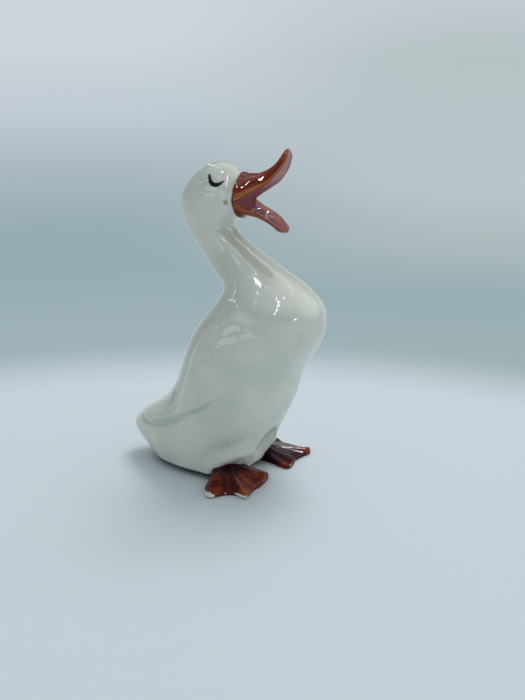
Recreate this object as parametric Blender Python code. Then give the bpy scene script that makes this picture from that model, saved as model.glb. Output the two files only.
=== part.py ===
"""A standing duck figurine with its beak open, cast in one piece in white glazed earthenware.

+X is the way the duck faces, +Y is its left and +Z is up. The origin is on the floor, under the
middle of the flat base. Sizes are in millimetres and become metres where a mesh is made.
"""
from typing import NamedTuple

import bpy
import numpy as np

MM = 0.001


class Section(NamedTuple):
    """A level section through the body: a front and a back half that meet where it is widest."""

    rise: float  # above the section below it
    front: float  # how far it reaches along +X
    back: float  # how far it reaches along -X, so mostly below zero
    half_width: float
    widest: float  # the X at which it is widest
    front_square: float = 2.0  # 2 makes the front half an ellipse, more makes it squarer
    back_taper: float = 1.0  # 1 makes the back half an ellipse, more draws it out to a point


# Body, neck and head are one skin over this stack of sections, from the base up.
SECTIONS = {
    "base": Section(0.0, 33.0, -29.5, 26.5, 16.0, 2.5, 1.05),
    "base_edge": Section(0.8, 35.2, -32.6, 28.4, 16.0, 2.5, 1.05),
    "foot_level": Section(2.4, 37.5, -36.0, 29.8, 16.0, 2.5, 1.05),
    "under_tail": Section(8.8, 43.5, -45.5, 32.5, 15.5, 2.3, 1.15),
    "tail_tip": Section(9.0, 48.5, -53.2, 34.5, 16.0, 2.1, 1.3),
    "tail_top": Section(6.0, 51.5, -48.5, 35.8, 18.0, 2.0, 1.25),
    "rump": Section(9.0, 56.0, -36.0, 37.2, 20.0, 2.0, 1.1),
    "belly": Section(10.0, 61.0, -21.8, 38.2, 22.0),
    "belly_top": Section(12.0, 65.4, -12.8, 38.8, 25.0),
    "waist": Section(10.0, 68.8, -8.8, 39.0, 28.0),
    "breast": Section(18.0, 80.0, -2.0, 38.2, 33.5),
    "chest": Section(14.0, 84.0, 7.5, 35.4, 40.0),
    "shoulder": Section(10.0, 82.0, 16.0, 31.0, 44.0),
    "nape": Section(8.0, 75.5, 20.0, 26.0, 43.0),
    "neck_foot": Section(10.0, 61.0, 12.5, 19.5, 37.0),
    "neck": Section(10.0, 44.0, 3.0, 14.8, 28.0),
    "neck_top": Section(9.0, 30.0, -4.5, 12.6, 19.0),
    "throat": Section(9.0, 21.6, -10.0, 13.3, 13.0),
    "jaw": Section(6.0, 27.0, -11.8, 14.8, 12.0, 2.3),
    "cheek": Section(6.0, 31.0, -12.4, 15.8, 12.5, 2.8),
    "eye": Section(7.0, 32.0, -10.8, 16.0, 13.5, 2.9),
    "brow": Section(7.0, 31.5, -6.5, 14.6, 14.5, 2.4),
    "forehead": Section(6.0, 28.8, -0.3, 11.2, 15.5),
    "cap": Section(4.0, 23.6, 6.5, 6.8, 16.0),
    "crown": Section(1.8, 19.4, 11.6, 3.2, 16.0),
}
CROWN_RISE = 0.6
LEVEL_STEP = 3.4
POINTS_AROUND = 60
STEPS_PER_OUTLINE_POINT = 2

# Each wing lies flat along a side as a low raised leaf. It is drawn from the side, as X and height
# from the middle of the waist: its outline, then the two grooves that set it off below and behind.
WING_OUTLINE = (
    (36.0, 27.0), (31.0, 12.0), (23.0, 0.0), (9.0, -10.5), (-7.0, -19.0), (-23.0, -26.5),
    (-40.0, -33.5), (-56.0, -39.0), (-69.0, -40.5), (-58.0, -33.0), (-41.0, -26.0), (-28.0, -18.0),
    (-21.0, -4.0), (-18.0, 10.0), (-12.0, 23.0), (-1.0, 35.0), (17.0, 40.0),
)
WING_RISE = 1.6
WING_EDGE = 9.0
LOWER_GROOVE = ((9.0, -10.5), (1.0, -14.8), (-7.0, -19.0), (-23.0, -26.5), (-40.0, -33.5), (-56.0, -38.5))
BACK_GROOVE = ((-29.0, -18.5), (-22.5, -4.0), (-19.5, 10.0), (-14.0, 23.0), (-4.0, 34.0))
GROOVE_DEPTH = 1.1
GROOVE_WIDTH = 3.2
BACK_STRIP = 8.0

# The front of the base is two thighs with a valley between them. A thigh ends in a rolled cuff over
# its foot, with a soft crease above it. Both are drawn from the ankle: forward, outward and up.
ANKLE_BEHIND_FRONT = 3.0
ANKLE_INSIDE_FLANK = 4.5
VALLEY_DEPTH = 8.5
VALLEY_WIDTH = 7.0
VALLEY_START = 1.0
VALLEY_DEEPEST = 16.0
VALLEY_TOP = 34.0
CUFF_RIM = ((-9.5, 7.4, 5.0), (0.5, 6.4, 13.0), (8.6, 1.5, 16.5), (14.0, -7.4, 16.0))
CUFF_RISE = 0.9
CUFF_WIDTH = 4.5
HIP_CREASE = ((-4.0, 11.0, 19.0), (3.5, 7.1, 22.5), (15.3, -2.7, 28.0))
CREASE_DEPTH = 1.4
CREASE_WIDTH = 5.0


class Station(NamedTuple):
    """A cross section of one half of the beak, from the corner of the mouth: forward and up."""

    lip: tuple
    ridge: tuple
    half_width: float
    hollow: float  # how deep the inner face is, as a share of the way from the lips to the ridge


MOUTH_BEYOND_CHEEK = 2.0
MOUTH_ABOVE_CHEEK = 3.7
UPPER_BEAK = (
    Station((-7.5, -1.5), (-6.0, 12.5), 9.0, 0.0),
    Station((-3.6, -1.2), (-3.4, 16.6), 12.3, 0.0),
    Station((0.4, 0.5), (0.6, 16.3), 11.9, 0.22),
    Station((4.5, 3.1), (2.4, 16.2), 10.6, 0.34),
    Station((8.7, 5.4), (5.6, 16.3), 9.9, 0.38),
    Station((12.9, 7.9), (9.3, 16.9), 9.4, 0.38),
    Station((16.8, 10.1), (13.1, 18.3), 8.4, 0.36),
    Station((20.6, 13.3), (16.9, 20.3), 7.1, 0.34),
    Station((24.2, 17.5), (20.4, 23.2), 5.8, 0.32),
    Station((26.7, 21.2), (23.0, 26.5), 4.7, 0.30),
    Station((28.4, 25.2), (25.0, 29.4), 3.5, 0.25),
    Station((28.8, 28.6), (26.8, 31.0), 2.1, 0.15),
)
UPPER_TIP = (28.3, 31.1)
LOWER_BEAK = (
    Station((-7.5, 1.5), (-6.0, -8.0), 9.0, 0.0),
    Station((-3.8, 1.2), (-3.6, -11.0), 12.3, 0.0),
    Station((0.4, -0.8), (0.0, -10.2), 11.9, 0.22),
    Station((5.3, -3.7), (3.4, -9.7), 11.2, 0.30),
    Station((10.2, -5.7), (7.8, -10.2), 10.6, 0.32),
    Station((15.0, -8.0), (12.5, -11.5), 9.8, 0.32),
    Station((19.3, -10.5), (16.8, -13.4), 8.9, 0.30),
    Station((23.0, -13.5), (20.5, -15.9), 7.4, 0.26),
    Station((26.2, -16.1), (24.0, -18.2), 5.0, 0.18),
)
LOWER_TIP = (27.6, -17.9)
POINTS_OVER_BEAK = 12

# The webbed feet were set on by hand, so each has its own outline and toes, seen from its ankle:
# forward and outward, and the direction of each toe in degrees from straight ahead.
RIGHT_FOOT = (
    (8.0, -8.0), (15.0, -10.0), (21.8, -12.3), (24.4, -10.0), (26.4, 3.0), (26.0, 10.3), (27.9, 22.5),
    (28.0, 24.6), (25.6, 24.6), (20.0, 22.9), (14.5, 25.2), (10.6, 31.4), (7.8, 34.0), (4.2, 32.4),
    (1.4, 28.0), (-0.5, 21.5), (-3.5, 11.5), (-8.0, 2.0), (-4.0, -6.0),
)
RIGHT_TOES = (-10.0, 40.5, 80.0)
RIGHT_ANKLE_HEIGHT = 12.5
LEFT_FOOT = (
    (8.0, -8.0), (15.0, -10.0), (23.0, -12.8), (27.4, -12.0), (26.8, -4.0), (24.8, 3.0), (25.4, 11.0),
    (26.8, 17.6), (26.6, 20.8), (23.8, 22.2), (18.7, 23.8), (12.0, 23.4), (5.0, 23.4), (0.5, 26.0),
    (-2.8, 26.2), (-4.8, 22.5), (-5.5, 13.0), (-8.0, 2.0), (-4.0, -6.0),
)
LEFT_TOES = (-10.0, 38.0, 97.0)
LEFT_ANKLE_HEIGHT = 9.5
FOOT_EDGE_HEIGHT = 2.6
FOOT_REACH = 37.0
SOLE_INSET = 0.7
FOOT_FALL = 1.4  # 1 makes the top of the foot a straight cone, more makes it hollow
TOE_RIDGE = 1.1
WEB_DIP = 1.0
TOE_SPREAD = 11.0
RINGS_OVER_FOOT = 7


def smooth(value, stations, sizes):
    """Cubic curve through the stations that never overshoots them: its slope at a station is the
    weighted harmonic mean of the two slopes beside it, or level where they differ in sign."""
    run = np.diff(stations)
    slope = np.diff(sizes) / run
    rises_on = slope[:-1] * slope[1:] > 0
    before, after = np.where(rises_on, slope[:-1], 1.0), np.where(rises_on, slope[1:], 1.0)
    near, far = 2 * run[1:] + run[:-1], run[1:] + 2 * run[:-1]
    inner = np.where(rises_on, (near + far) / (near / before + far / after), 0.0)
    tangent = np.concatenate([slope[:1], inner, slope[-1:]])
    i = np.clip(np.searchsorted(stations, value) - 1, 0, len(run) - 1)
    t = (value - stations[i]) / run[i]
    ends = (1 + 2 * t) * (1 - t) ** 2 * sizes[i] + t * t * (3 - 2 * t) * sizes[i + 1]
    bends = t * (1 - t) ** 2 * tangent[i] + t * t * (t - 1) * tangent[i + 1]
    return ends + run[i] * bends


def smooth_step(low, high, value):
    """0 at low, 1 at high, and a smooth change between, whichever of the two is larger."""
    t = np.clip((value - low) / (high - low), 0.0, 1.0)
    return t * t * (3 - 2 * t)


def bell(distance, width):
    """1 at no distance, falling away to both sides over the width."""
    return np.exp(-((distance / width) ** 2))


def closed_curve(points, steps):
    """Catmull-Rom curve through a ring of points, with this many steps from each point to the next."""
    p = np.array(points, float)
    before, after, beyond = np.roll(p, 1, 0), np.roll(p, -1, 0), np.roll(p, -2, 0)
    t = np.arange(steps)[:, None, None] / steps
    curve = 0.5 * (
        2 * p
        + (after - before) * t
        + (2 * before - 5 * p + 4 * after - beyond) * t**2
        + (3 * p - 3 * after + beyond - before) * t**3
    )
    return curve.transpose(1, 0, 2).reshape(-1, p.shape[1])


def distance_to_path(points, path):
    """Shortest distance from each point to a path of straight runs, in two or three dimensions."""
    start, end = np.array(path[:-1], float), np.array(path[1:], float)
    run = end - start
    offset = points[..., None, :] - start
    along = np.clip((offset * run).sum(-1) / (run * run).sum(-1), 0.0, 1.0)
    return np.linalg.norm(offset - along[..., None] * run, axis=-1).min(-1)


def depth_inside(points, ring):
    """Distance to a closed ring in the plane, positive inside it: a point is inside where a ray
    along +X crosses the ring an odd number of times."""
    x, y = points[..., 0, None], points[..., 1, None]
    after = np.roll(ring, -1, 0)
    spans = (ring[:, 1] > y) != (after[:, 1] > y)
    height = np.where(after[:, 1] == ring[:, 1], 1.0, after[:, 1] - ring[:, 1])
    crossing = ring[:, 0] + (y - ring[:, 1]) * (after[:, 0] - ring[:, 0]) / height
    inside = (spans & (x < crossing)).sum(-1) % 2 == 1
    return np.where(inside, 1.0, -1.0) * distance_to_path(points, np.vstack([ring, ring[:1]]))


def height_of(name):
    """Height of a section above the floor."""
    names = list(SECTIONS)
    return sum(SECTIONS[below].rise for below in names[: names.index(name) + 1])


def plain_skin():
    """Grid of points, one row for each level, with levels about LEVEL_STEP apart. The front half of a
    row is a superellipse, and the back half an ellipse whose width is drawn in by its taper."""
    heights = np.array([height_of(name) for name in SECTIONS])
    counts = np.maximum(1, np.round(np.diff(heights) / LEVEL_STEP)).astype(int)
    runs = [np.linspace(heights[i], heights[i + 1], n, endpoint=False) for i, n in enumerate(counts)]
    levels = np.concatenate(runs + [heights[-1:]])
    size = {
        field: smooth(levels, heights, np.array([getattr(s, field) for s in SECTIONS.values()]))[:, None]
        for field in Section._fields[1:]
    }
    angle = 2 * np.pi * np.arange(POINTS_AROUND) / POINTS_AROUND
    cos, sin = np.cos(angle), np.sin(angle)
    square = 2 / size["front_square"]
    ahead = size["front"] - size["widest"]
    behind = size["widest"] - size["back"]
    x = size["widest"] + np.where(cos > 0, ahead * np.abs(cos) ** square, behind * cos)
    y = size["half_width"] * np.sign(sin) * np.abs(sin) ** np.where(cos > 0, square, size["back_taper"])
    return np.stack([x, y, np.broadcast_to(levels[:, None], x.shape)], -1)


def outward(skin):
    """Unit normals of the grid, from the run around each level and the run up the skin."""
    around = np.roll(skin, -1, 1) - np.roll(skin, 1, 1)
    up = np.gradient(skin, axis=0)
    normal = np.cross(around, up)
    return normal / np.linalg.norm(normal, axis=-1, keepdims=True)


def wing_relief(skin):
    """How far the wings stand proud of the skin, less their grooves; none along the back."""
    side = skin[..., [0, 2]] - (SECTIONS["waist"].widest, height_of("waist"))
    outline = closed_curve(WING_OUTLINE, STEPS_PER_OUTLINE_POINT)
    leaf = smooth_step(0.0, WING_EDGE, depth_inside(side, outline))
    grooves = [bell(distance_to_path(side, path), GROOVE_WIDTH) for path in (LOWER_GROOVE, BACK_GROOVE)]
    off_back = smooth_step(0.0, BACK_STRIP, np.abs(skin[..., 1]))
    return (WING_RISE * leaf - GROOVE_DEPTH * np.maximum(*grooves)) * off_back


def thigh_relief(skin):
    """The rolled cuff over each foot, less the crease above it."""
    either_side = np.concatenate([skin[..., :1], np.abs(skin[..., 1:2]), skin[..., 2:]], -1)
    from_ankle = either_side - (*ankle(1), 0.0)
    cuff = bell(distance_to_path(from_ankle, CUFF_RIM), CUFF_WIDTH)
    crease = bell(distance_to_path(from_ankle, HIP_CREASE), CREASE_WIDTH)
    return CUFF_RISE * cuff - CREASE_DEPTH * crease


def valley(skin):
    """How far the front is pushed back between the thighs."""
    x, y, z = np.moveaxis(skin, -1, 0)
    rise = smooth_step(VALLEY_START, VALLEY_DEEPEST, z) * smooth_step(VALLEY_TOP, VALLEY_DEEPEST, z)
    in_front = smooth_step(SECTIONS["base"].widest, SECTIONS["base"].front, x)
    return VALLEY_DEPTH * rise * in_front * bell(y, VALLEY_WIDTH)


def body_skin():
    """The plain skin with its wings, thighs and valley; the base keeps its flat face."""
    skin = plain_skin()
    off_base = smooth_step(0.0, height_of("foot_level"), skin[..., 2])
    relief = (wing_relief(skin) + thigh_relief(skin)) * off_base
    shaped = skin + outward(skin) * relief[..., None]
    shaped[..., 0] -= valley(skin)
    return shaped


def mouth_corner():
    """X and height of the corners of the mouth."""
    return np.array([SECTIONS["cheek"].front + MOUTH_BEYOND_CHEEK, height_of("cheek") + MOUTH_ABOVE_CHEEK])


def beak_grid(stations, side):
    """Grid of points, one row for each station: over the outer face from lip to lip, then back along
    the inner face. The outer face is a half ellipse, the inner face a parabola hollowed towards it.
    side is 1 for the upper half and -1 for the lower, whose ridge is below its lips."""
    lip, ridge, half_width, hollow = (np.array(column) for column in zip(*stations))
    angle = np.pi * np.arange(POINTS_OVER_BEAK + 1) / POINTS_OVER_BEAK
    across = np.concatenate([np.cos(angle), -np.cos(angle[1:-1])])
    outer = np.broadcast_to(np.sin(angle), (len(stations), len(angle)))
    inner = hollow[:, None] * np.sin(angle[1:-1]) ** 2
    lift = np.concatenate([outer, inner], 1)[..., None]
    point = mouth_corner() + lip[:, None] + lift * (ridge - lip)[:, None]
    return np.stack([point[..., 0], side * half_width[:, None] * across, point[..., 1]], -1)


def beak_tip(offset):
    x, z = mouth_corner() + offset
    return (x, 0.0, z)


def ankle(side):
    """X and Y of an ankle, behind the front of the base and inside its flank."""
    base = SECTIONS["base"]
    return (base.front - ANKLE_BEHIND_FRONT, side * (base.half_width - ANKLE_INSIDE_FLANK))


def foot_rings(outline_points, toes, ankle_height, side):
    """Rings from the sole out and up to the edge of the foot, then in over its top. The top is a cone
    that climbs to the ankle, with a ridge along each toe and a dip in each web. side is 1 for the
    left foot and -1 for the right."""
    outline = closed_curve(outline_points, STEPS_PER_OUTLINE_POINT)
    share = (np.arange(RINGS_OVER_FOOT, 0, -1) / RINGS_OVER_FOOT)[:, None]
    reach = np.linalg.norm(outline, axis=1)
    angle = np.degrees(np.arctan2(outline[:, 1], outline[:, 0]))
    on_toe = bell(np.abs(angle[:, None] - np.array(toes)).min(1), TOE_SPREAD)
    cone = (ankle_height - FOOT_EDGE_HEIGHT) * np.clip(1 - share * reach / FOOT_REACH, 0, 1) ** FOOT_FALL
    in_front = smooth_step(0.0, FOOT_REACH, share * reach)
    top = FOOT_EDGE_HEIGHT + cone + in_front * (TOE_RIDGE * on_toe - WEB_DIP * (1 - on_toe))
    sole = outline * (1 - SOLE_INSET / reach)[:, None]
    flat = np.concatenate([sole[None], outline[None], outline * share[..., None]])
    edge = np.full((1, len(outline)), SOLE_INSET)
    height = np.concatenate([0 * edge, edge, top])
    x, y = ankle(side)
    rings = np.stack([x + flat[..., 0], y + side * flat[..., 1], height], -1)
    return rings[:, ::side]


def closed_mesh(name, rows, tip):
    """Mesh of a grid whose rows each close on themselves: a flat face at its start, a point at its end."""
    count, around = rows.shape[:2]
    row, column = np.meshgrid(np.arange(count - 1), np.arange(around), indexing="ij")
    here = row * around + column
    beside = row * around + (column + 1) % around
    faces = np.stack([here, beside, beside + around, here + around], -1).reshape(-1, 4).tolist()
    faces.append(list(range(around))[::-1])
    last = np.arange(around) + (count - 1) * around
    top = np.full(around, count * around)
    faces += np.stack([last, np.roll(last, -1), top], -1).tolist()
    points = np.vstack([rows.reshape(-1, 3), tip]) * MM
    mesh = bpy.data.meshes.new(name)
    mesh.from_pydata(points.tolist(), [], faces)
    return mesh


def place(name, mesh):
    part = bpy.data.objects.new(name, mesh)
    bpy.context.scene.collection.objects.link(part)
    return part


def fuse(part, other):
    """Joins another shape to the part, as the casting does; the shape itself stays as a guide."""
    union = part.modifiers.new(other.name, "BOOLEAN")
    union.operation = "UNION"
    union.object = other
    other.hide_render = True
    other.display_type = "WIRE"


def white_glaze():
    material = bpy.data.materials.new("white_glaze")
    material.use_nodes = True
    surface = material.node_tree.nodes["Principled BSDF"]
    surface.inputs["Base Color"].default_value = (0.72, 0.73, 0.69, 1.0)
    surface.inputs["Roughness"].default_value = 0.12
    surface.inputs["Metallic"].default_value = 0.0
    return material


for old in list(bpy.data.objects):
    bpy.data.objects.remove(old)

crown_tip = (SECTIONS["crown"].widest, 0.0, height_of("crown") + CROWN_RISE)
duck = place("duck_figurine", closed_mesh("duck_figurine", body_skin(), crown_tip))
duck.data.materials.append(white_glaze())

upper = closed_mesh("upper_beak", beak_grid(UPPER_BEAK, 1), beak_tip(UPPER_TIP))
lower = closed_mesh("lower_beak", beak_grid(LOWER_BEAK, -1), beak_tip(LOWER_TIP))
left_rings = foot_rings(LEFT_FOOT, LEFT_TOES, LEFT_ANKLE_HEIGHT, 1)
right_rings = foot_rings(RIGHT_FOOT, RIGHT_TOES, RIGHT_ANKLE_HEIGHT, -1)
left = closed_mesh("left_foot", left_rings, (*ankle(1), LEFT_ANKLE_HEIGHT))
right = closed_mesh("right_foot", right_rings, (*ankle(-1), RIGHT_ANKLE_HEIGHT))
for mesh in (upper, lower, left, right):
    fuse(duck, place(mesh.name, mesh))

duck.data.shade_smooth()
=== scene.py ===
"""A standing duck figurine in white glazed earthenware, singing with its beak wide open.

+X is the way the duck faces, +Y is its left and +Z is up, with the origin on the floor under the middle
of the base. Sizes are in millimetres and become metres where a mesh is made.
"""

import bpy
import numpy as np
from mathutils import Matrix


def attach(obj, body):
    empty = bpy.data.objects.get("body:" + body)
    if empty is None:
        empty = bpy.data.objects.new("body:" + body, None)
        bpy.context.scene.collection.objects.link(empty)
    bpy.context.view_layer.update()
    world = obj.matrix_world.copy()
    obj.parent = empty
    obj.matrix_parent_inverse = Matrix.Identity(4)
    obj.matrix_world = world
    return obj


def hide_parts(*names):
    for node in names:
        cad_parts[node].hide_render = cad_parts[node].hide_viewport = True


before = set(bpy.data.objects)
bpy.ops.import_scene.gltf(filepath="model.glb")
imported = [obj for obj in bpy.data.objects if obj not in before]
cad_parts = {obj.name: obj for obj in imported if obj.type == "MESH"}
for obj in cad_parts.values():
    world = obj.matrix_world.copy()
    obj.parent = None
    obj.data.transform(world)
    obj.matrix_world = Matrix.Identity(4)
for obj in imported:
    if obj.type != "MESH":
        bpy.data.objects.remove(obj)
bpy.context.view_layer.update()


# The cast body: neck, head and body are one slip casting of white earthenware, thick and smooth like a
# river pebble, with a flat base. It is a skin over a stack of level sections, from the base to the crown.
MM = 0.001
BODY_LEVELS = 340
BODY_AROUND = 260
# Height, front, back, half width, where it is widest, squareness of the front, taper of the back.
BODY_SECTIONS = np.array([
    (0.0, 33.0, -29.5, 26.5, 16.0, 2.5, 1.05),
    (0.8, 35.2, -32.6, 28.4, 16.0, 2.5, 1.05),
    (3.2, 37.5, -36.0, 29.8, 16.0, 2.5, 1.05),
    (12.0, 43.5, -45.5, 32.5, 15.5, 2.3, 1.15),
    (21.0, 48.5, -53.2, 34.5, 16.0, 2.1, 1.3),
    (27.0, 51.5, -48.5, 35.8, 18.0, 2.0, 1.25),
    (36.0, 56.0, -36.0, 37.2, 20.0, 2.0, 1.1),
    (46.0, 61.0, -21.8, 38.2, 22.0, 2.0, 1.0),
    (58.0, 65.4, -12.8, 38.8, 25.0, 2.0, 1.0),
    (68.0, 68.8, -8.8, 39.0, 28.0, 2.0, 1.0),
    (86.0, 80.0, -2.0, 38.2, 33.5, 2.0, 1.0),
    (100.0, 84.0, 7.5, 35.4, 40.0, 2.0, 1.0),
    (110.0, 82.0, 16.0, 31.0, 44.0, 2.0, 1.0),
    (118.0, 75.5, 20.0, 26.0, 43.0, 2.0, 1.0),
    (128.0, 61.0, 12.5, 19.5, 37.0, 2.0, 1.0),
    (138.0, 44.0, 3.0, 14.8, 28.0, 2.0, 1.0),
    (147.0, 30.0, -4.5, 12.6, 19.0, 2.0, 1.0),
    (156.0, 21.6, -10.0, 13.3, 13.0, 2.0, 1.0),
    (162.0, 27.0, -11.8, 14.8, 12.0, 2.3, 1.0),
    (168.0, 31.0, -12.4, 15.8, 12.5, 2.8, 1.0),
    (175.0, 32.0, -10.8, 16.0, 13.5, 2.9, 1.0),
    (182.0, 31.5, -6.5, 14.6, 14.5, 2.4, 1.0),
    (188.0, 28.8, -0.3, 11.2, 15.5, 2.0, 1.0),
    (192.0, 23.6, 6.5, 6.8, 16.0, 2.0, 1.0),
    (193.8, 19.4, 11.6, 3.2, 16.0, 2.0, 1.0),
    (194.4, 16.0, 16.0, 0.0, 16.0, 2.0, 1.0),
])
RIM_HEIGHT = 3.2
RIM_INSET = 2.8


def spline(knots, values, at):
    """Natural cubic spline through rows of values. The second derivatives at the knots solve one linear
    system, which makes the slopes on both sides of every knot agree, and are zero at both ends."""
    step = np.diff(knots)
    slope = np.diff(values, axis=0) / step[:, None]
    inner = np.arange(1, len(knots) - 1)
    system = np.eye(len(knots))
    system[inner, inner - 1] = step[:-1]
    system[inner, inner] = 2 * (step[:-1] + step[1:])
    system[inner, inner + 1] = step[1:]
    jump = np.zeros_like(values)
    jump[1:-1] = 6 * np.diff(slope, axis=0)
    bend = np.linalg.solve(system, jump)
    left = np.clip(np.searchsorted(knots, at) - 1, 0, len(knots) - 2)
    run = step[left][:, None]
    t = (at - knots[left])[:, None] / run
    chord = (1 - t) * values[left] + t * values[left + 1]
    bow = (t**3 - t) * bend[left + 1] + ((1 - t) ** 3 - (1 - t)) * bend[left]
    return chord + run**2 / 6 * bow


def section_spacing(shape):
    """Running length up the skin at each section: each step is the hypotenuse of the rise and of the
    largest change in the front, the back or the half width."""
    height, widest, ahead, behind, half = shape[:, :5].T
    reach = np.abs(np.diff(np.stack([widest + ahead, widest - behind, half]), axis=1)).max(0)
    return np.concatenate([[0.0], np.cumsum(np.hypot(np.diff(height), reach))])


def plain_skin():
    """Grid of points, one row for each level, closer together at the rim of the base. In front of its
    widest place a row is the superellipse |x/a|^p + |y/b|^p = 1, and behind it x = c cos t and
    y = b (sin t)^q. The sections below the crown are repeated beyond it, turned over, so that the skin
    closes level."""
    height, front, back, half, widest, square, taper = BODY_SECTIONS.T
    shape = np.stack([height, widest, front - widest, widest - back, half, square, taper], 1)
    beyond = shape[-4:-1][::-1] * (1, 1, -1, -1, -1, 1, 1)
    shape = np.vstack([shape, beyond])
    length = section_spacing(shape)
    share = np.linspace(0.0, 1.0, BODY_LEVELS)[:-1]
    at = length[len(BODY_SECTIONS) - 1] * share * (1 - 0.6 * (1 - share) ** 12)
    height, widest, ahead, behind, half, square, taper = spline(length, shape, at).T[:, :, None]
    turn = 2 * np.pi * np.arange(BODY_AROUND) / BODY_AROUND
    cos, sin = np.cos(turn), np.sin(turn)
    x = widest + np.where(cos > 0, ahead * np.abs(cos) ** (2 / square), behind * cos)
    y = half * np.sign(sin) * np.abs(sin) ** np.where(cos > 0, 2 / square, taper)
    return np.stack([x, y, np.broadcast_to(height, x.shape)], -1)


def outward(grid):
    """Unit normals of a grid whose rows close on themselves: the cross product of the run along a row
    and the run from row to row."""
    around = np.roll(grid, -1, 1) - np.roll(grid, 1, 1)
    normal = np.cross(around, np.gradient(grid, axis=0))
    return normal / np.maximum(np.linalg.norm(normal, axis=-1, keepdims=True), 1e-9)


# The wings are moulded into the sides as low leaves. Each has a crisp lower edge, a second row of feathers
# just below it, and melts into the tail and the breast. They are drawn from the side, as X and height.
WING_OUTLINE = (
    (70.0, 95.0), (64.0, 76.0), (54.0, 62.0), (40.0, 48.0), (20.0, 38.0), (0.0, 28.0), (-20.0, 20.0),
    (-42.0, 16.0), (-52.0, 24.0), (-34.0, 34.0), (-15.0, 42.0), (-1.0, 50.4), (6.4, 68.2), (9.0, 75.7),
    (15.0, 89.6), (25.0, 103.0), (46.0, 112.0),
)
WING_RISE = 1.7
WING_FADE = 9.0
LOWER_GROOVE = (
    (-47.0, 27.0), (-37.0, 28.3), (-28.0, 29.8), (-21.8, 31.7), (-10.3, 35.1), (-2.2, 38.2), (6.4, 41.9),
    (14.9, 45.8), (22.8, 49.7), (29.6, 53.6), (36.0, 57.6), (48.0, 66.0), (60.0, 78.0),
)
FEATHER_GROOVE = (
    (14.0, 43.0), (4.6, 38.5), (-1.0, 35.8), (-7.1, 32.9), (-13.6, 30.4), (-20.1, 29.0), (-26.2, 28.0),
)
TIP_CREASE = ((-25.5, 27.9), (-29.0, 27.8), (-33.0, 28.2), (-37.5, 29.2))
BACK_GROOVE = (
    (-3.0, 46.0), (3.6, 57.0), (7.2, 68.2), (9.1, 75.7), (15.2, 89.6), (19.6, 96.7), (25.7, 102.8),
)
NAPE_CREASE = ((-7.0, 44.0), (-4.5, 49.5), (-3.0, 55.0))


def smooth_step(low, high, value):
    """0 at low, 1 at high, and t t (3 - 2 t) between them, whichever of the two is larger."""
    t = np.clip((value - low) / (high - low), 0.0, 1.0)
    return t * t * (3 - 2 * t)


def bell(distance, width):
    """exp(-(d/w)^2): 1 on the line and falling away to both sides of it."""
    return np.exp(-((distance / width) ** 2))


def distance_to_path(points, path, half_widths=0.0):
    """Shortest distance from each point to a path of straight runs, less the half width that the path
    has there: the offset less its share along the nearest run."""
    start, end = np.array(path[:-1], float), np.array(path[1:], float)
    widths = np.broadcast_to(half_widths, len(path)).astype(float)
    run = end - start
    offset = points[..., None, :] - start
    along = np.clip((offset * run).sum(-1) / (run * run).sum(-1), 0.0, 1.0)
    away = np.linalg.norm(offset - along[..., None] * run, axis=-1)
    return (away - (1 - along) * widths[:-1] - along * widths[1:]).min(-1)


def bead(points, path, height, width):
    """A rounded bead along a path, or the depth of a groove there."""
    return height * bell(distance_to_path(points, path), width)


def closed_curve(points, steps):
    """Catmull-Rom curve through a ring of points, with this many steps from each point to the next."""
    p = np.array(points, float)
    before, after, beyond = np.roll(p, 1, 0), np.roll(p, -1, 0), np.roll(p, -2, 0)
    t = np.arange(steps)[:, None, None] / steps
    curve = 0.5 * (
        2 * p
        + (after - before) * t
        + (2 * before - 5 * p + 4 * after - beyond) * t**2
        + (3 * p - 3 * after + beyond - before) * t**3
    )
    return curve.transpose(1, 0, 2).reshape(-1, p.shape[1])


def depth_inside(points, ring):
    """Distance to a closed ring in the plane, positive inside it: a point is inside where a ray along +X
    crosses the ring an odd number of times."""
    x, y = points[..., 0, None], points[..., 1, None]
    after = np.roll(ring, -1, 0)
    spans = (ring[:, 1] > y) != (after[:, 1] > y)
    climb = np.where(after[:, 1] == ring[:, 1], 1.0, after[:, 1] - ring[:, 1])
    crossing = ring[:, 0] + (y - ring[:, 1]) * (after[:, 0] - ring[:, 0]) / climb
    inside = (spans & (x < crossing)).sum(-1) % 2 == 1
    return np.where(inside, 1.0, -1.0) * distance_to_path(points, np.vstack([ring, ring[:1]]))


def wing_relief(skin):
    """Height of the leaf, which steps up across its lower edge and fades out elsewhere, less its
    grooves."""
    side = skin[..., [0, 2]]
    x, z = side[..., 0], side[..., 1]
    above = z - np.interp(x, *np.array(LOWER_GROOVE).T)
    blur = 1.2 + 7.0 * smooth_step(22.0, 52.0, x)
    step = smooth_step(-1.0, 1.0, above / blur) * smooth_step(-44.0, -26.0, x)
    leaf = WING_RISE * step * smooth_step(0.0, WING_FADE, depth_inside(side, closed_curve(WING_OUTLINE, 3)))
    lower_fade = smooth_step(44.0, 24.0, x) * smooth_step(-31.0, -20.0, x)
    lower = bead(side, LOWER_GROOVE, height=0.9, width=1.3) * lower_fade
    feather = bead(side, FEATHER_GROOVE, height=0.6, width=1.1) * smooth_step(16.0, 2.0, x)
    tip = bead(side, TIP_CREASE, height=0.6, width=0.9)
    back = bead(side, BACK_GROOVE, height=0.35, width=3.4)
    nape = bead(side, NAPE_CREASE, height=0.4, width=1.8)
    off_back = smooth_step(0.5, 8.0, np.abs(skin[..., 1]))
    return (leaf - np.maximum.reduce([lower, feather, tip]) - back - nape) * off_back


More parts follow.
